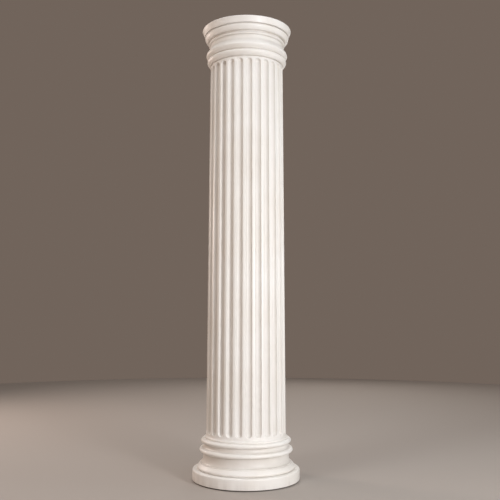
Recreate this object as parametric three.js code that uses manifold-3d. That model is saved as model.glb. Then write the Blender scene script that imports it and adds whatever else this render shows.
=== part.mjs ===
import * as THREE from "three";
import * as BufferGeometryUtils from "three/addons/utils/BufferGeometryUtils.js";
import Module from "manifold-3d";

// A free-standing round column in three castings: moulded base, fluted shaft and turned capital.
// Millimetres, +Z up, with the origin on the floor under the column's centre.

const wasm = await Module();
wasm.setup();

// Shaft: a plain listel and a curved foot, then a slow taper up to the capital
const shaftHeight = 1986.9;
const shaftFootRadius = 209;
const shaftTopRadius = 197.5;
const listelProjection = 7;
const listelHeight = 9;
const footCurveHeight = 14;

// Flutes: scooped out at both ends, with a plain strip of shaft left below and above them
const fluteCount = 26;
const fluteWidthAtFoot = 35;
const fluteWidthAtTop = 33;
const fluteDepth = 16;
const plainStripBelowFlutes = 4;
const plainStripAboveFlutes = 9;

// Base, from the floor up. A projection is measured out from the foot of the shaft.
const plinthFootProjection = 62;
const plinthFootHeight = 6;
const plinthProjection = 71;
const plinthHeight = 54.5;
const plinthUnderChamfer = 2;
const plinthEdgeRound = 8;
const baseBeadFoot = 36;
const baseBeadProjection = 47;
const baseBeadUnderside = 11.5;
const baseBeadTop = 32;
const baseBeadShoulder = 19;
const baseBeadBow = 1;
const baseFilletProjection = 28;
const baseFilletHeight = 3.5;
const scotiaHeight = 28;
const baseNeckProjection = 15;
const baseNeckHeight = 22.5;
const lowerTorusFoot = 21.5;
const lowerTorusProjection = 35.5;
const lowerTorusUnderside = 11;
const lowerTorusShoulder = 12.5;
const torusGrooveCoveHeight = 17;
const torusGrooveProjection = 11;
const torusGrooveHeight = 6;
const upperTorusProjection = 26.5;
const upperTorusHeight = 24;

// Capital, from the shaft up. A projection is measured out from the top of the shaft.
const quirkProjection = -7.5;
const quirkHeight = 5.5;
const ringFootProjection = 2;
const ringProjection = 18;
const ringFlareHeight = 20.5;
const ringFlareBow = 3.2;
const ringCrownProjection = 9.5;
const ringCrownHeight = 10;
const ringGrooveProjection = 3;
const ringGrooveHeight = 8;
const capitalTorusFoot = 6;
const capitalTorusProjection = 24;
const capitalTorusUnderside = 18;
const capitalTorusBow = 3.5;
const shoulderHeight = 38;
const neckProjection = 0.5;
const neckFlareHeight = 17;
const capitalBeadProjection = 11;
const capitalBeadHeight = 14;
const beadGrooveProjection = 2.5;
const beadGrooveHeight = 8.5;
const ovoloFootProjection = 17.5;
const ovoloProjection = 31;
const ovoloHeight = 24;
const ovoloBow = 3;
const abacusGrooveProjection = 20;
const abacusGrooveHeight = 8;
const abacusUndersideProjection = 32;
const abacusFootProjection = 33.5;
const abacusFootRound = 1.5;
const abacusProjection = 44.5;
const abacusFaceHeight = 28;
const abacusBow = -0.5;
const abacusEdgeRound = 2;

// Clear space between one casting and the next
const jointGap = 0.3;

// How finely round work is divided
const turningSides = 32;
const shaftSidesPerFlute = 2;
const cutterSides = 14;
const arcSteps = 3;
const bowSteps = 2;

// Warm off-white cast surface with a dull sheen
const castColour = 0xe9e4dc;
const castRoughness = 0.6;

// A turned outline, drawn upwards from the axis, one moulding after another
class Outline {
  constructor(nominalRadius) {
    this.nominalRadius = nominalRadius;
    this.points = [new THREE.Vector2(0, 0)];
  }

  last() {
    return this.points[this.points.length - 1];
  }

  get height() {
    return this.last().y;
  }

  // Straight to a projection, level or with a rise
  to(projection, rise = 0) {
    this.points.push(new THREE.Vector2(this.nominalRadius + projection, this.height + rise));
    return this;
  }

  // Quarter of an ellipse that leaves level and arrives upright
  levelToUpright(projection, rise) {
    const from = this.last();
    const across = this.nominalRadius + projection - from.x;
    for (let step = 1; step <= arcSteps; step += 1) {
      const turn = (Math.PI / 2) * (step / arcSteps);
      const x = from.x + across * Math.sin(turn);
      const y = from.y + rise * (1 - Math.cos(turn));
      this.points.push(new THREE.Vector2(x, y));
    }
    return this;
  }

  // Quarter of an ellipse that leaves upright and arrives level
  uprightToLevel(projection, rise) {
    const from = this.last();
    const across = this.nominalRadius + projection - from.x;
    for (let step = 1; step <= arcSteps; step += 1) {
      const turn = (Math.PI / 2) * (step / arcSteps);
      const x = from.x + across * (1 - Math.cos(turn));
      const y = from.y + rise * Math.sin(turn);
      this.points.push(new THREE.Vector2(x, y));
    }
    return this;
  }

  // Half-round moulding that swells to a peak and comes back to a foot
  halfRound(peak, foot, rise) {
    return this.levelToUpright(peak, rise / 2).uprightToLevel(foot, rise / 2);
  }

  // S-shaped moulding that leaves upright and arrives upright
  ogee(projection, rise) {
    const from = this.last();
    const across = this.nominalRadius + projection - from.x;
    for (let step = 1; step <= arcSteps; step += 1) {
      const share = step / arcSteps;
      const x = from.x + (across / 2) * (1 - Math.cos(Math.PI * share));
      this.points.push(new THREE.Vector2(x, from.y + rise * share));
    }
    return this;
  }

  // Sloping face with a slight outward bow in its middle
  bowed(projection, rise, bow) {
    const from = this.last();
    const across = this.nominalRadius + projection - from.x;
    for (let step = 1; step <= bowSteps; step += 1) {
      const share = step / bowSteps;
      const swell = 4 * bow * share * (1 - share);
      this.points.push(new THREE.Vector2(from.x + across * share + swell, from.y + rise * share));
    }
    return this;
  }

  turned(sides) {
    const closed = [...this.points, new THREE.Vector2(0, this.height)];
    return new THREE.LatheGeometry(closed, sides).rotateX(Math.PI / 2);
  }
}

function baseOutline() {
  return new Outline(shaftFootRadius)
    .to(plinthFootProjection)
    .to(plinthFootProjection, plinthFootHeight)
    .to(plinthProjection - plinthUnderChamfer)
    .to(plinthProjection, plinthUnderChamfer)
    .to(plinthProjection, plinthHeight - plinthUnderChamfer - plinthEdgeRound)
    .uprightToLevel(plinthProjection - plinthEdgeRound, plinthEdgeRound)
    .to(baseBeadFoot)
    .levelToUpright(baseBeadProjection, baseBeadUnderside)
    .bowed(baseBeadTop, baseBeadShoulder, baseBeadBow)
    .to(baseFilletProjection)
    .to(baseFilletProjection, baseFilletHeight)
    .levelToUpright(baseNeckProjection, scotiaHeight)
    .to(baseNeckProjection, baseNeckHeight)
    .to(lowerTorusFoot)
    .levelToUpright(lowerTorusProjection, lowerTorusUnderside)
    .uprightToLevel(lowerTorusFoot, lowerTorusShoulder)
    .levelToUpright(torusGrooveProjection, torusGrooveCoveHeight)
    .to(torusGrooveProjection, torusGrooveHeight)
    .halfRound(upperTorusProjection, torusGrooveProjection, upperTorusHeight);
}

function shaftOutline() {
  return new Outline(shaftFootRadius)
    .to(listelProjection)
    .to(listelProjection, listelHeight)
    .levelToUpright(0, footCurveHeight)
    .to(shaftTopRadius - shaftFootRadius, shaftHeight - listelHeight - footCurveHeight);
}

function capitalOutline() {
  return new Outline(shaftTopRadius)
    .to(quirkProjection)
    .to(quirkProjection, quirkHeight)
    .to(ringFootProjection)
    .bowed(ringProjection, ringFlareHeight, ringFlareBow)
    .uprightToLevel(ringCrownProjection, ringCrownHeight)
    .to(ringGrooveProjection)
    .to(ringGrooveProjection, ringGrooveHeight)
    .to(capitalTorusFoot)
    .bowed(capitalTorusProjection, capitalTorusUnderside, capitalTorusBow)
    .ogee(neckProjection, shoulderHeight)
    .uprightToLevel(beadGrooveProjection, neckFlareHeight)
    .halfRound(capitalBeadProjection, beadGrooveProjection, capitalBeadHeight)
    .to(beadGrooveProjection, beadGrooveHeight)
    .to(ovoloFootProjection)
    .bowed(ovoloProjection, ovoloHeight, ovoloBow)
    .to(abacusGrooveProjection)
    .to(abacusGrooveProjection, abacusGrooveHeight)
    .to(abacusUndersideProjection)
    .levelToUpright(abacusFootProjection, abacusFootRound)
    .bowed(abacusProjection, abacusFaceHeight, abacusBow)
    .uprightToLevel(abacusProjection - abacusEdgeRound, abacusEdgeRound);
}

// A closed geometry as a solid that can be cut
function solidFrom(geometry) {
  const bare = geometry.clone();
  bare.deleteAttribute("normal");
  bare.deleteAttribute("uv");
  const merged = BufferGeometryUtils.mergeVertices(bare);
  const index = merged.index.array;
  const corners = [];
  for (let i = 0; i < index.length; i += 3) {
    const [a, b, c] = [index[i], index[i + 1], index[i + 2]];
    if (a !== b && b !== c && c !== a) corners.push(a, b, c);
  }
  return new wasm.Manifold(new wasm.Mesh({
    numProp: 3,
    vertProperties: new Float32Array(merged.attributes.position.array),
    triVerts: new Uint32Array(corners),
  }));
}

function geometryFrom(solid) {
  const mesh = solid.getMesh();
  const geometry = new THREE.BufferGeometry();
  geometry.setAttribute("position", new THREE.BufferAttribute(mesh.vertProperties, 3));
  geometry.setIndex(new THREE.BufferAttribute(mesh.triVerts, 1));
  geometry.computeVertexNormals();
  return geometry;
}

// The round-nosed cutter that leaves a flute of a given width and depth in a shaft of a given radius
function cutterRadius(surfaceRadius, width) {
  const halfAngle = width / (2 * surfaceRadius);
  const halfChord = surfaceRadius * Math.sin(halfAngle);
  const sink = fluteDepth - surfaceRadius * (1 - Math.cos(halfAngle));
  return (sink ** 2 + halfChord ** 2) / (2 * sink);
}

// One cutter, with a round nose at each end, lying along the front of the shaft
function fluteCutter() {
  const taperBottom = listelHeight + footCurveHeight;
  const taperPerRise = (shaftFootRadius - shaftTopRadius) / (shaftHeight - taperBottom);
  const fluteBottom = taperBottom + plainStripBelowFlutes;
  const fluteTop = shaftHeight - plainStripAboveFlutes;
  const surfaceAt = (z) => shaftFootRadius - taperPerRise * (z - taperBottom);

  const footNose = cutterRadius(surfaceAt(fluteBottom), fluteWidthAtFoot);
  const topNose = cutterRadius(surfaceAt(fluteTop), fluteWidthAtTop);
  const noseReach = (nose) => Math.sqrt(2 * nose * fluteDepth - fluteDepth ** 2);
  const footCentreZ = fluteBottom + noseReach(footNose);
  const topCentreZ = fluteTop - noseReach(topNose);
  const footCentre = surfaceAt(footCentreZ) - fluteDepth + footNose;
  const topCentre = surfaceAt(topCentreZ) - fluteDepth + topNose;
  const length = Math.hypot(topCentreZ - footCentreZ, footCentre - topCentre);
  const lean = Math.atan2(footCentre - topCentre, topCentreZ - footCentreZ);

  const footArc = new THREE.Path();
  footArc.absarc(0, 0, footNose, -Math.PI / 2, 0);
  const topArc = new THREE.Path();
  topArc.absarc(0, length, topNose, 0, Math.PI / 2);
  const profile = [...footArc.getSpacedPoints(arcSteps), ...topArc.getSpacedPoints(arcSteps)];
  profile[0].x = 0;
  profile[profile.length - 1].x = 0;
  return new THREE.LatheGeometry(profile, cutterSides)
    .rotateX(Math.PI / 2)
    .rotateX(-lean)
    .translate(0, -footCentre, footCentreZ);
}

function flutedShaft() {
  let shaft = solidFrom(shaftOutline().turned(fluteCount * shaftSidesPerFlute));
  const cutter = fluteCutter();
  for (let flute = 0; flute < fluteCount; flute += 1) {
    const turn = (2 * Math.PI * flute) / fluteCount;
    shaft = shaft.subtract(solidFrom(cutter.clone().rotateZ(turn)));
  }
  return geometryFrom(shaft);
}

function casting(name, geometry, bottom) {
  const finish = new THREE.MeshStandardMaterial({
    color: castColour,
    roughness: castRoughness,
    metalness: 0,
  });
  const mesh = new THREE.Mesh(geometry, finish);
  mesh.name = name;
  mesh.position.z = bottom;
  return mesh;
}

const base = baseOutline();
const capital = capitalOutline();
const shaftBottom = base.height + jointGap;
const capitalBottom = shaftBottom + shaftHeight + jointGap;

const column = new THREE.Group();
column.add(casting("base", base.turned(turningSides), 0));
column.add(casting("shaft", flutedShaft(), shaftBottom));
column.add(casting("capital", capital.turned(turningSides), capitalBottom));

export default column;
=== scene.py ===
from math import atan2, cos, degrees, hypot, pi, radians, sin, sqrt

import bpy
from mathutils import Matrix, Vector


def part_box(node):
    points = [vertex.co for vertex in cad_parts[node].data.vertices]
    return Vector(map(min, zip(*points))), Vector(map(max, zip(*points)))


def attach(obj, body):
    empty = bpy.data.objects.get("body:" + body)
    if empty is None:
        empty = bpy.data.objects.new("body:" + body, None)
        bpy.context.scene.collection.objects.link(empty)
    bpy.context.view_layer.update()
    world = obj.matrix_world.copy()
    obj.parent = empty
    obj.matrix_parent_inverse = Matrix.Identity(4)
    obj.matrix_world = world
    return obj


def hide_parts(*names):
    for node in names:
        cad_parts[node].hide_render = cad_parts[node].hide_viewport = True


# Round fluted column: cast base, shaft and capital. Metres, floor at z = 0, front towards -Y.

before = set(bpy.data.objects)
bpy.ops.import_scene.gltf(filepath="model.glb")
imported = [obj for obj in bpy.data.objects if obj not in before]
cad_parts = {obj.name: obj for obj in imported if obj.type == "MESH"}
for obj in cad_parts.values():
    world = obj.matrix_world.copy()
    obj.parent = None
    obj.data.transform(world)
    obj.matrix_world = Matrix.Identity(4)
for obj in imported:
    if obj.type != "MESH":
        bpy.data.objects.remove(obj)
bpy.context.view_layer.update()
print("frame loaded:", sorted(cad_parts))


def clearSelection():
    if bpy.context.object and bpy.context.object.mode != "OBJECT":
        bpy.ops.object.mode_set(mode="OBJECT")
    bpy.ops.object.select_all(action="DESELECT")


def pickOnly(piece):
    clearSelection()
    piece.select_set(True)
    bpy.context.view_layer.objects.active = piece


# Outline drawing: one vertex is pulled along the outline of a turned piece, step by step
pen = {"x": 0.0, "z": 0.0}
arcSteps = 10  # steps in each quarter round
cornerSteps = 4  # steps in each softened corner
startSize = 0.01
mergeReach = 0.00005
shortestEdge = 0.00001


def startOutline(name, bottom):
    clearSelection()
    bpy.ops.mesh.primitive_plane_add(size=startSize, location=(0, 0, 0))
    bpy.context.object.name = name
    bpy.ops.object.mode_set(mode="EDIT")
    bpy.ops.mesh.select_all(action="SELECT")
    bpy.ops.mesh.merge(type="CENTER")
    bpy.ops.transform.translate(value=(0, 0, bottom))
    pen.update(x=0.0, z=bottom)


def drawTo(x, rise=0.0):
    step = (x - pen["x"], 0, rise)
    bpy.ops.mesh.extrude_region_move(TRANSFORM_OT_translate={"value": step})
    pen.update(x=x, z=pen["z"] + rise)


def levelToUpright(x, rise):  # quarter round that leaves level and arrives upright
    fromX, fromZ = pen["x"], pen["z"]
    for step in range(1, arcSteps + 1):
        turn = pi / 2 * step / arcSteps
        drawTo(fromX + (x - fromX) * sin(turn), fromZ + rise * (1 - cos(turn)) - pen["z"])


def uprightToLevel(x, rise):  # quarter round that leaves upright and arrives level
    fromX, fromZ = pen["x"], pen["z"]
    for step in range(1, arcSteps + 1):
        turn = pi / 2 * step / arcSteps
        drawTo(fromX + (x - fromX) * (1 - cos(turn)), fromZ + rise * sin(turn) - pen["z"])


def ogeeTo(x, rise):  # S-shaped moulding that leaves upright and arrives upright
    fromX, fromZ = pen["x"], pen["z"]
    for step in range(1, 2 * arcSteps + 1):
        share = step / (2 * arcSteps)
        drawTo(fromX + (x - fromX) / 2 * (1 - cos(pi * share)), fromZ + rise * share - pen["z"])


def bowedTo(x, rise, bow):  # sloping face with a slight swell in its middle
    fromX, fromZ = pen["x"], pen["z"]
    for step in range(1, arcSteps + 1):
        share = step / arcSteps
        swell = 4 * bow * share * (1 - share)
        drawTo(fromX + (x - fromX) * share + swell, fromZ + rise * share - pen["z"])


def softenCorners(softness, hardTurn=28):  # rounds each corner that turns more than hardTurn degrees
    piece = bpy.context.object
    bpy.ops.object.mode_set(mode="OBJECT")
    points = [v.co.copy() for v in piece.data.vertices]
    for v in piece.data.vertices:
        v.select = False
    for i in range(1, len(points) - 1):
        before, after = points[i] - points[i - 1], points[i + 1] - points[i]
        if degrees(before.angle(after)) > hardTurn:
            piece.data.vertices[i].select = True
    bpy.ops.object.mode_set(mode="EDIT")
    bpy.ops.mesh.select_mode(type="VERT")
    bpy.ops.mesh.bevel(offset=softness, offset_type="OFFSET", segments=cornerSteps, affect="VERTICES",
                       clamp_overlap=False)


def turnOutline(sides):  # spins the outline into a closed body
    bpy.ops.mesh.select_all(action="SELECT")
    bpy.ops.mesh.spin(steps=sides, angle=2 * pi, center=(0, 0, 0), axis=(0, 0, 1))
    bpy.ops.mesh.select_all(action="SELECT")
    bpy.ops.mesh.remove_doubles(threshold=mergeReach)
    bpy.ops.mesh.dissolve_degenerate(threshold=shortestEdge)
    bpy.ops.mesh.select_all(action="SELECT")
    bpy.ops.mesh.normals_make_consistent(inside=False)
    bpy.ops.object.mode_set(mode="OBJECT")
    return bpy.context.object


def applyModifier(piece, kind, **settings):
    pickOnly(piece)
    modifier = piece.modifiers.new(kind.lower(), kind)
    for name, value in settings.items():
        setattr(modifier, name, value)
    bpy.ops.object.modifier_apply(modifier=modifier.name)


# Base casting
base = {
    "sides": 192,
    "footRadius": 0.271, "footHeight": 0.006,
    "plinthRadius": 0.280, "plinthHeight": 0.0545, "plinthUnder": 0.002, "plinthEdge": 0.008,
    "beadFoot": 0.245, "beadRadius": 0.256, "beadUnderside": 0.0115,
    "beadTop": 0.241, "beadShoulder": 0.019, "beadBow": 0.001,
    "filletRadius": 0.237, "filletHeight": 0.0035,
    "neckRadius": 0.2240, "scotiaHeight": 0.028, "neckHeight": 0.0225,
    "lowerTorusFoot": 0.2305, "lowerTorusRadius": 0.2445,
    "lowerTorusUnderside": 0.011, "lowerTorusShoulder": 0.0125,
    "grooveRadius": 0.2200, "grooveCove": 0.017, "grooveHeight": 0.006,
    "upperTorusRadius": 0.2355, "upperTorusHeight": 0.024,
    "softness": 0.0009,
}


def makeBase():
    startOutline("baseCasting", 0.0)
    drawTo(base["footRadius"])
    drawTo(base["footRadius"], base["footHeight"])
    drawTo(base["plinthRadius"] - base["plinthUnder"])
    levelToUpright(base["plinthRadius"], base["plinthUnder"])
    drawTo(base["plinthRadius"], base["plinthHeight"] - base["plinthUnder"] - base["plinthEdge"])
    uprightToLevel(base["plinthRadius"] - base["plinthEdge"], base["plinthEdge"])
    drawTo(base["beadFoot"])
    levelToUpright(base["beadRadius"], base["beadUnderside"])
    bowedTo(base["beadTop"], base["beadShoulder"], base["beadBow"])
    drawTo(base["filletRadius"])
    drawTo(base["filletRadius"], base["filletHeight"])
    levelToUpright(base["neckRadius"], base["scotiaHeight"])
    drawTo(base["neckRadius"], base["neckHeight"])
    drawTo(base["lowerTorusFoot"])
    levelToUpright(base["lowerTorusRadius"], base["lowerTorusUnderside"])
    uprightToLevel(base["lowerTorusFoot"], base["lowerTorusShoulder"])
    levelToUpright(base["grooveRadius"], base["grooveCove"])
    drawTo(base["grooveRadius"], base["grooveHeight"])
    levelToUpright(base["upperTorusRadius"], base["upperTorusHeight"] / 2)
    uprightToLevel(base["grooveRadius"], base["upperTorusHeight"] / 2)
    drawTo(0.0)
    softenCorners(base["softness"])
    return turnOutline(base["sides"])


# Capital casting
capital = {
    "sides": 192,
    "bottom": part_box("capital")[0].z,
    "quirkRadius": 0.190, "quirkHeight": 0.0055,
    "ringFoot": 0.1995, "ringRadius": 0.2155, "ringFlare": 0.0205, "ringBow": 0.0032,
    "ringCrownRadius": 0.207, "ringCrown": 0.010, "ringGrooveRadius": 0.2005, "ringGroove": 0.008,
    "torusFoot": 0.2035, "torusRadius": 0.2215, "torusUnderside": 0.018, "torusBow": 0.0035,
    "shoulderHeight": 0.038, "neckRadius": 0.198, "neckFlare": 0.017,
    "nickDepth": 0.003, "nickHeight": 0.0025,
    "beadRadius": 0.2085, "beadHeight": 0.014, "beadGrooveRadius": 0.2000, "beadGroove": 0.0085,
    "ovoloFoot": 0.2150, "ovoloRadius": 0.2285, "ovoloHeight": 0.024, "ovoloBow": 0.0030,
    "abacusGrooveRadius": 0.2175, "abacusGroove": 0.008, "abacusUnderside": 0.2295,
    "abacusFoot": 0.2310, "abacusFootRound": 0.0015, "abacusRadius": 0.2420, "abacusFace": 0.028,
    "abacusBow": -0.0005, "abacusEdge": 0.002, "topMargin": 0.020,
    "softness": 0.0008,
}


def makeCapital():
    startOutline("capitalCasting", capital["bottom"])
    drawTo(capital["quirkRadius"])
    drawTo(capital["quirkRadius"], capital["quirkHeight"])
    drawTo(capital["ringFoot"])
    bowedTo(capital["ringRadius"], capital["ringFlare"], capital["ringBow"])
    uprightToLevel(capital["ringCrownRadius"], capital["ringCrown"])
    drawTo(capital["ringGrooveRadius"])
    drawTo(capital["ringGrooveRadius"], capital["ringGroove"])
    drawTo(capital["torusFoot"])
    bowedTo(capital["torusRadius"], capital["torusUnderside"], capital["torusBow"])
    ogeeTo(capital["neckRadius"], capital["shoulderHeight"])
    uprightToLevel(capital["beadGrooveRadius"], capital["neckFlare"])
    drawTo(capital["beadGrooveRadius"] - capital["nickDepth"])
    drawTo(capital["beadGrooveRadius"] - capital["nickDepth"], capital["nickHeight"])
    drawTo(capital["beadGrooveRadius"])
    levelToUpright(capital["beadRadius"], capital["beadHeight"] / 2 - capital["nickHeight"])
    uprightToLevel(capital["beadGrooveRadius"], capital["beadHeight"] / 2)
    drawTo(capital["beadGrooveRadius"], capital["beadGroove"])
    drawTo(capital["ovoloFoot"])
    bowedTo(capital["ovoloRadius"], capital["ovoloHeight"], capital["ovoloBow"])
    drawTo(capital["abacusGrooveRadius"])
    drawTo(capital["abacusGrooveRadius"], capital["abacusGroove"])
    drawTo(capital["abacusUnderside"])
    levelToUpright(capital["abacusFoot"], capital["abacusFootRound"])
    bowedTo(capital["abacusRadius"], capital["abacusFace"], capital["abacusBow"])
    uprightToLevel(capital["abacusRadius"] - capital["abacusEdge"], capital["abacusEdge"])
    drawTo(capital["abacusRadius"] - capital["topMargin"])
    drawTo(0.0)
    softenCorners(capital["softness"])
    return turnOutline(capital["sides"])


# Shaft casting with its flutes
shaft = {
    "bottom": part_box("shaft")[0].z, "top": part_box("shaft")[1].z,
    "flutes": 26, "sidesPerFlute": 4,
    "footRadius": 0.209, "topRadius": 0.1975,
    "listelRadius": 0.216, "listelHeight": 0.009, "footCurve": 0.014,
    "fluteWidthAtFoot": 0.035, "fluteWidthAtTop": 0.033, "fluteDepth": 0.016,
    "stripBelow": 0.004, "stripAbove": 0.009,
    "cutterSides": 48, "cutterRings": 24,
    "softness": 0.0013, "arrisSoftness": 0.0016, "arrisSteps": 3, "arrisAngle": 45,
}


def cutterRadius(surfaceRadius, width):  # round cutter that leaves this width at the chosen depth
    halfAngle = width / (2 * surfaceRadius)
    halfChord = surfaceRadius * sin(halfAngle)
    sink = shaft["fluteDepth"] - surfaceRadius * (1 - cos(halfAngle))
    return (sink ** 2 + halfChord ** 2) / (2 * sink)


def makeFluteCutter():  # a long round-ended bar that stands where the front flute is cut
    taperBottom = shaft["bottom"] + shaft["listelHeight"] + shaft["footCurve"]
    taperPerRise = (shaft["footRadius"] - shaft["topRadius"]) / (shaft["top"] - taperBottom)
    fluteBottom, fluteTop = taperBottom + shaft["stripBelow"], shaft["top"] - shaft["stripAbove"]
    depth = shaft["fluteDepth"]

    def surfaceAt(z):
        return shaft["footRadius"] - taperPerRise * (z - taperBottom)

    footNose = cutterRadius(surfaceAt(fluteBottom), shaft["fluteWidthAtFoot"])
    topNose = cutterRadius(surfaceAt(fluteTop), shaft["fluteWidthAtTop"])
    footZ = fluteBottom + sqrt(2 * footNose * depth - depth ** 2)
    topZ = fluteTop - sqrt(2 * topNose * depth - depth ** 2)
    footReach = surfaceAt(footZ) - depth + footNose
    topReach = surfaceAt(topZ) - depth + topNose
    length, lean = hypot(topZ - footZ, footReach - topReach), atan2(footReach - topReach, topZ - footZ)

    clearSelection()  # a sphere whose upper half is pulled up and drawn in a little
    bpy.ops.mesh.primitive_uv_sphere_add(
        segments=shaft["cutterSides"], ring_count=shaft["cutterRings"], radius=footNose, location=(0, 0, 0))
    cutter = bpy.context.object
    bpy.ops.object.mode_set(mode="EDIT")
    bpy.ops.mesh.select_mode(type="FACE")
    bpy.ops.mesh.select_all(action="DESELECT")
    bpy.ops.object.mode_set(mode="OBJECT")
    for face in cutter.data.polygons:
        face.select = face.center.z > 0
    bpy.ops.object.mode_set(mode="EDIT")
    bpy.ops.mesh.extrude_region_move(TRANSFORM_OT_translate={"value": (0, 0, length)})
    bpy.ops.transform.resize(value=(topNose / footNose,) * 3, center_override=(0, 0, length))
    bpy.ops.mesh.select_all(action="SELECT")
    bpy.ops.transform.rotate(value=lean, orient_axis="X", center_override=(0, 0, 0))
    bpy.ops.transform.translate(value=(0, -footReach, footZ))
    bpy.ops.object.mode_set(mode="OBJECT")
    return cutter


def makeShaft():
    startOutline("shaftCasting", shaft["bottom"])
    drawTo(shaft["listelRadius"])
    drawTo(shaft["listelRadius"], shaft["listelHeight"])
    levelToUpright(shaft["footRadius"], shaft["footCurve"])
    drawTo(shaft["topRadius"], shaft["top"] - pen["z"])
    drawTo(0.0)
    softenCorners(shaft["softness"])
    body = turnOutline(shaft["flutes"] * shaft["sidesPerFlute"])

    cutter = makeFluteCutter()
    cutters = [cutter]
    for flute in range(1, shaft["flutes"]):
        pickOnly(cutter)
        bpy.ops.object.duplicate()
        bpy.context.object.matrix_world = Matrix.Rotation(2 * pi * flute / shaft["flutes"], 4, "Z")
        bpy.ops.object.transform_apply(location=True, rotation=True, scale=True)
        cutters.append(bpy.context.object)
    clearSelection()
    for each in cutters:
        each.select_set(True)
    bpy.context.view_layer.objects.active = cutter
    bpy.ops.object.join()
    applyModifier(body, "BOOLEAN", operation="DIFFERENCE", solver="EXACT", object=cutter)
    pickOnly(cutter)
    bpy.ops.object.delete()
    pickOnly(body)
    bpy.ops.object.mode_set(mode="EDIT")
    bpy.ops.mesh.select_all(action="SELECT")
    bpy.ops.mesh.remove_doubles(threshold=mergeReach)
    bpy.ops.object.mode_set(mode="OBJECT")
    applyModifier(body, "BEVEL", width=shaft["arrisSoftness"], segments=shaft["arrisSteps"],
                  limit_method="ANGLE", angle_limit=radians(shaft["arrisAngle"]), use_clamp_overlap=False)
    return body


smoothAngle = 40


def finishMesh(piece, node):
    pickOnly(piece)
    bpy.ops.object.shade_smooth_by_angle(angle=radians(smoothAngle))
    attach(piece, "root")
    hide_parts(node)
    print(node, "made:", len(piece.data.polygons), "faces")


baseCasting = makeBase()
finishMesh(baseCasting, "base")
capitalCasting = makeCapital()
finishMesh(capitalCasting, "capital")
shaftCasting = makeShaft()
finishMesh(shaftCasting, "shaft")


# Cast surface. Tool marks run round the turned pieces and up the shaft.
# The grime colour serves both as real dirt (streaks, scuffs, pits) and as painted shade darkening the creases
# and hollows
castWhite = {"light": (0.84, 0.815, 0.78, 1), "warm": (0.815, 0.78, 0.73, 1), "rubbed": (0.87, 0.85, 0.82, 1),
             "grimeAndShade": (0.32, 0.265, 0.215, 1), "paintedFootShadow": (0.07, 0.058, 0.048, 1)}
# The recessed foot's wall is painted nearly black: a painted contact shadow under the plinth
footShade = {"full": 0.0054, "gone": 0.0062, "amount": 0.95}  # heights at the top of the recessed foot
# Patterns that all three pieces share. The pairs are the low and high ends of a pattern's blend.
grain = {
    "patchDetail": 6.0, "patches": (0.36, 0.64), "patchyCreaseShade": (0.30, 0.60),
    "speckleScale": 55.0, "speckleDetail": 5.0, "speckles": (0.35, 0.65), "roughness": (0.36, 0.50),
    "streakScale": 3.0, "streakDetail": 5.0, "streaks": (0.48, 0.72), "scuffs": (0.40, 0.62),
    "markScale": 1.0, "markDetail": 3.0, "markDistance": 0.0008,
    "peelScale": 420.0, "peelDetail": 3.0, "peelBump": 0.10, "peelDistance": 0.0004,
    "pitScale": 95.0, "pits": (0.05, 0.13), "pitPlaces": (0.52, 0.60),
    "pitDirt": 0.35, "pitBump": 0.35, "pitDistance": 0.0008,
    "patchBump": 0.05, "patchDistance": 0.004,
}
# The crease amount in each finish is painted shade: how far the deepest creases are darkened towards the
# grime colour
baseFinish = {"mottle": 6.0, "streaks": (10, 10, 1.5), "streakDirt": 0.05, "paintedCreaseShade": 0.80, "rub": 0.6,
              "scuffHeight": 0.05, "scuffDirt": 0.18, "marks": (3, 3, 170), "markDepth": 0.06}
capitalFinish = {"mottle": 7.0, "streaks": (9, 9, 2.0), "streakDirt": 0.04, "paintedCreaseShade": 0.85, "rub": 0.5,
                 "scuffHeight": 0.01, "scuffDirt": 0.0, "marks": (3, 3, 170), "markDepth": 0.06}
shaftFinish = {"mottle": 4.0, "streaks": (22, 22, 0.9), "streakDirt": 0.06, "paintedCreaseShade": 0.36, "rub": 0.6,
               "scuffHeight": 0.01, "scuffDirt": 0.0, "marks": (90, 90, 2.5), "markDepth": 0.04}


# Shades that the hollow painting gives: deep creases are darkest and sharp edges lightest
hollowShades = {"crease": 0.040, "hollow": 0.064, "flat": 0.07, "edge": 0.074, "sharpEdge": 0.10,
                "blurStrength": 0.6, "blurRounds": 1, "poleReach": 0.001}


def markHollows(piece):  # paints hollows dark and edges light into a colour attribute
    pickOnly(piece)
    bpy.ops.geometry.color_attribute_add(name="hollows", domain="POINT", data_type="FLOAT_COLOR",
                                         color=(1, 1, 1, 1))
    bpy.ops.paint.vertex_color_dirt(blur_strength=hollowShades["blurStrength"],
                                    blur_iterations=hollowShades["blurRounds"], normalize=False)
    flat = hollowShades["flat"]
    for v in piece.data.vertices:
        # the middle of a flat end is neither hollow nor edge
        if hypot(v.co.x, v.co.y) < hollowShades["poleReach"]:
            piece.data.color_attributes["hollows"].data[v.index].color = (flat, flat, flat, 1)


def addNode(tree, kind, values, **settings):  # values go to the inputs, as numbers or as links
    node = tree.nodes.new("ShaderNode" + kind)
    for name, value in settings.items():
        setattr(node, name, value)
    for socket, value in values.items():
        if isinstance(value, bpy.types.NodeSocket):
            tree.links.new(value, node.inputs[socket])
        else:
            node.inputs[socket].default_value = value
    return node


def noiseOf(tree, place, scale, detail):
    return addNode(tree, "TexNoise", {"Vector": place, "Scale": scale, "Detail": detail}).outputs["Fac"]


def stretchedPlace(tree, place, scale):
    return addNode(tree, "Mapping", {"Vector": place, "Scale": scale}).outputs["Vector"]


def spread(tree, value, low, high, lowResult, highResult):
    return addNode(tree, "MapRange", {"Value": value, "From Min": low, "From Max": high,
                                      "To Min": lowResult, "To Max": highResult}).outputs["Result"]


def times(tree, first, second):
    return addNode(tree, "Math", {0: first, 1: second}, operation="MULTIPLY").outputs["Value"]


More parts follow.
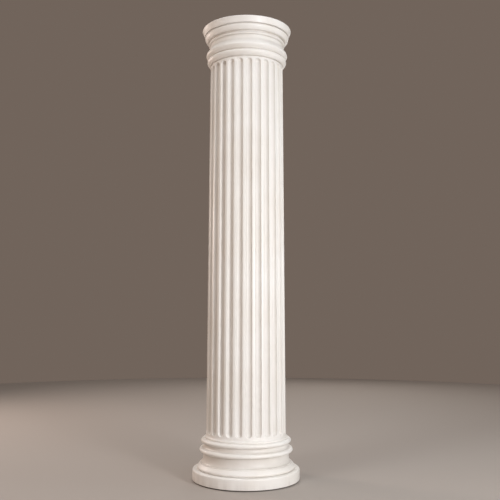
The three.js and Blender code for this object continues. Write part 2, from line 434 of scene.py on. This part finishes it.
def blend(tree, amount, first, second):
    return addNode(tree, "Mix", {0: amount, 6: first, 7: second}, data_type="RGBA").outputs[2]


def bump(tree, height, strength, distance, under=None):
    values = {"Height": height, "Strength": strength, "Distance": distance}
    if under:
        values["Normal"] = under
    return addNode(tree, "Bump", values).outputs["Normal"]


def castMaterial(name, finish):
    material = bpy.data.materials.new(name)
    material.use_nodes = True
    tree = material.node_tree
    place = addNode(tree, "TexCoord", {}).outputs["Object"]
    height = addNode(tree, "SeparateXYZ", {"Vector": place}).outputs["Z"]
    hollows = addNode(tree, "Attribute", {}, attribute_name="hollows").outputs["Fac"]

    patches = noiseOf(tree, place, finish["mottle"], grain["patchDetail"])
    speckle = noiseOf(tree, place, grain["speckleScale"], grain["speckleDetail"])
    streakPlace = stretchedPlace(tree, place, finish["streaks"])
    streaks = noiseOf(tree, streakPlace, grain["streakScale"], grain["streakDetail"])
    markPlace = stretchedPlace(tree, place, finish["marks"])
    marks = noiseOf(tree, markPlace, grain["markScale"], grain["markDetail"])
    peel = noiseOf(tree, place, grain["peelScale"], grain["peelDetail"])
    pits = addNode(tree, "TexVoronoi", {"Vector": place, "Scale": grain["pitScale"]}).outputs["Distance"]
    pitPlaces = spread(tree, speckle, *grain["pitPlaces"], 0.0, 1.0)
    pitDepth = times(tree, spread(tree, pits, *grain["pits"], 1.0, 0.0), pitPlaces)

    warmth = spread(tree, patches, *grain["patches"], 0.0, 1.0)
    colour = blend(tree, warmth, castWhite["light"], castWhite["warm"])
    streakAmount = spread(tree, streaks, *grain["streaks"], 0.0, finish["streakDirt"])
    colour = blend(tree, streakAmount, colour, castWhite["grimeAndShade"])
    rub = spread(tree, hollows, hollowShades["edge"], hollowShades["sharpEdge"], 0.0, finish["rub"])
    colour = blend(tree, times(tree, rub, speckle), colour, castWhite["rubbed"])
    # Painted shade: creases and hollows are darkened towards the grime colour where shade falls in them, in
    # patches
    creaseShadeAmount = spread(tree, hollows, hollowShades["crease"], hollowShades["hollow"], finish["paintedCreaseShade"], 0.0)
    patchyCreaseShade = spread(tree, patches, *grain["patchyCreaseShade"], 0.6, 1.0)
    colour = blend(tree, times(tree, creaseShadeAmount, patchyCreaseShade), colour, castWhite["grimeAndShade"])
    lowDown = spread(tree, height, 0.0, finish["scuffHeight"], finish["scuffDirt"], 0.0)
    scuffs = spread(tree, streaks, *grain["scuffs"], 0.0, 1.0)
    colour = blend(tree, times(tree, lowDown, scuffs), colour, castWhite["grimeAndShade"])
    colour = blend(tree, times(tree, pitDepth, grain["pitDirt"]), colour, castWhite["grimeAndShade"])
    # Painted shadow: the wall of the recessed foot is painted nearly black where the contact shadow falls
    footShadowAmount = spread(tree, height, footShade["full"], footShade["gone"], footShade["amount"], 0.0)
    colour = blend(tree, footShadowAmount, colour, castWhite["paintedFootShadow"])

    normal = bump(tree, patches, grain["patchBump"], grain["patchDistance"])
    normal = bump(tree, marks, finish["markDepth"], grain["markDistance"], normal)
    normal = bump(tree, peel, grain["peelBump"], grain["peelDistance"], normal)
    pitFloor = spread(tree, pitDepth, 0.0, 1.0, 1.0, 0.0)
    normal = bump(tree, pitFloor, grain["pitBump"], grain["pitDistance"], normal)

    shader = tree.nodes["Principled BSDF"]
    tree.links.new(colour, shader.inputs["Base Color"])
    roughness = spread(tree, speckle, *grain["speckles"], *grain["roughness"])
    tree.links.new(roughness, shader.inputs["Roughness"])
    tree.links.new(normal, shader.inputs["Normal"])
    return material


finishes = ((baseCasting, baseFinish), (capitalCasting, capitalFinish), (shaftCasting, shaftFinish))
for piece, finish in finishes:
    markHollows(piece)
    piece.data.materials.clear()
    piece.data.materials.append(castMaterial(piece.name + "Finish", finish))
    print(piece.name, "finished")

# Floor and air
studio = {"floorRadius": 5.8, "floorSides": 128, "floorColour": (0.40, 0.355, 0.32, 1), "floorRoughness": 0.8,
          "worldColour": (0.165, 0.128, 0.105, 1)}
clearSelection()
bpy.ops.mesh.primitive_circle_add(vertices=studio["floorSides"], radius=studio["floorRadius"],
                                  fill_type="NGON", location=(0, 0, 0))
floor = bpy.context.object
floor.name = "studioFloor"
floorMaterial = bpy.data.materials.new("paleFloor")
floorMaterial.use_nodes = True
floorShader = floorMaterial.node_tree.nodes["Principled BSDF"]
floorShader.inputs["Base Color"].default_value = studio["floorColour"]
floorShader.inputs["Roughness"].default_value = studio["floorRoughness"]
floor.data.materials.append(floorMaterial)

world = bpy.data.worlds.new("studioAir")
bpy.context.scene.world = world
world.use_nodes = True
world.node_tree.nodes["Background"].inputs["Color"].default_value = studio["worldColour"]
print("floor and air ready")

# Camera
view = {
    "imageSide": 500, "focalPixels": 708.8, "sensor": 36.0,
    "distance": 3.798, "height": 0.866, "aside": 0.0193,
    "pitch": 5.05, "turn": -3.75, "roll": 0.075,
}


def makeCamera():
    clearSelection()
    around = Matrix.Rotation(radians(view["turn"]), 4, "Z")
    place = around @ Vector((view["aside"], -view["distance"], view["height"]))
    bpy.ops.object.camera_add(location=place)
    camera = bpy.context.object
    tilt = Matrix.Rotation(radians(90 + view["pitch"]), 4, "X")
    spin = Matrix.Rotation(radians(view["roll"]), 4, "Z")
    camera.matrix_world = Matrix.Translation(place) @ around @ tilt @ spin
    camera.data.sensor_width = view["sensor"]
    camera.data.lens = view["focalPixels"] / view["imageSide"] * view["sensor"]
    camera.data.dof.use_dof = False
    bpy.context.scene.camera = camera


makeCamera()


# Lights: turn is measured round the column from the front, to the right
softBoxes = {
    "keyRight": {"turn": 30, "reach": 4.2, "height": 1.4, "size": 0.9,
                 "power": 94, "colour": (0.98, 0.98, 1.0)},
    "frontLow": {"turn": 15, "reach": 4.2, "height": 0.9, "size": 1.8,
                 "power": 26, "colour": (0.98, 0.98, 1.0)},
    "rightHigh": {"turn": 45, "reach": 4.2, "height": 2.6, "size": 1.4,
                  "power": 22, "colour": (0.78, 0.91, 1.0)},
    "rightSide": {"turn": 80, "reach": 4.2, "height": 1.6, "size": 1.2,
                  "power": 21, "colour": (0.95, 1.0, 1.0)},
    "leftHigh": {"turn": -50, "reach": 3.0, "height": 5.0, "size": 1.2,
                 "power": 43, "colour": (0.93, 0.98, 1.0)},
    "leftWide": {"turn": -65, "reach": 5.0, "height": 2.5, "size": 4.0,
                 "power": 31, "colour": (1.0, 0.70, 0.51)},
    "leftRim": {"turn": -125, "reach": 4.2, "height": 2.0, "size": 1.0,
                "power": 62, "colour": (1.0, 0.84, 0.76)},
    "overhead": {"turn": 0, "reach": 0.01, "height": 5.6, "size": 5.0,
                 "power": 100, "colour": (0.86, 0.94, 1.0)},
    "rearFill": {"turn": 165, "reach": 5.0, "height": 2.6, "size": 3.0,
                 "power": 38, "colour": (1.0, 0.95, 0.90)},
}
lampTargetHeight = 1.2


def hangSoftBox(name, box):
    clearSelection()
    turn = radians(box["turn"])
    place = Vector((box["reach"] * sin(turn), -box["reach"] * cos(turn), box["height"]))
    bpy.ops.object.light_add(type="AREA", location=place)
    lamp = bpy.context.object
    lamp.name = name
    lamp.data.shape = "DISK"
    lamp.data.size = box["size"]
    lamp.data.energy = box["power"]
    lamp.data.color = box["colour"]
    lamp.rotation_euler = (Vector((0, 0, lampTargetHeight)) - place).to_track_quat("-Z", "Y").to_euler()


for name, box in softBoxes.items():
    hangSoftBox(name, box)
bpy.context.scene.view_settings.view_transform = "Standard"

print("camera and", len(softBoxes), "lamps ready")
